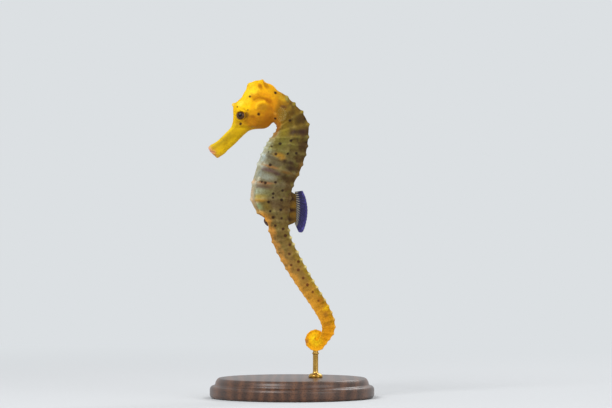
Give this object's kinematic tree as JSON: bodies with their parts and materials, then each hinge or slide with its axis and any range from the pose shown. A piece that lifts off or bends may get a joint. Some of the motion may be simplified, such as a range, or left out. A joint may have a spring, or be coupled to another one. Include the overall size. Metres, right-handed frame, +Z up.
{
  "type": "seahorse display model",
  "caption": "Life-size swimming spotted seahorse with a bent neck, ringed body and curled tail, held by a brass rod on a round wooden base.",
  "frame": {"origin": "centre of the wooden base's underside", "axes": "+Z up along the animal's height, the snout points towards -X, the animal's left side faces -Y"},
  "size_m": [0.0745, 0.074, 0.1433],
  "materials": {
    "skin_head": "bright yellow bare skin over bone, satin",
    "skin_trunk": "olive-yellow bare skin over bony rings with dark dots, satin",
    "skin_belly": "pale blue-grey and ochre skin with reddish bands, satin",
    "skin_tail": "orange-yellow ringed skin, satin",
    "fin_membrane": "thin translucent violet membrane between fine rays",
    "eye": "glossy dark brown eye with a golden ring",
    "walnut": "turned walnut, oiled",
    "brass": "fine brushed"
  },
  "bodies": {
    "root": {"snout": "skin_head", "head": "skin_head", "coronet": "skin_head", "gill_cover_left": "skin_head", "gill_cover_right": "skin_head", "eye_left": "eye", "eye_right": "eye", "neck": "skin_trunk", "trunk_upper": "skin_trunk", "trunk_middle": "skin_belly", "trunk_lower": "skin_trunk", "pectoral_fin_left": "fin_membrane", "pectoral_fin_right": "fin_membrane", "dorsal_fin_base": "skin_trunk", "dorsal_fin": "fin_membrane", "anal_fin": "fin_membrane", "tail_base": "skin_trunk", "tail_upper": "skin_tail", "tail_middle": "skin_tail", "tail_lower": "skin_tail", "tail_coil": "skin_tail", "stand_base": "walnut", "stand_rod": "brass"}
  },
  "joints": []
}
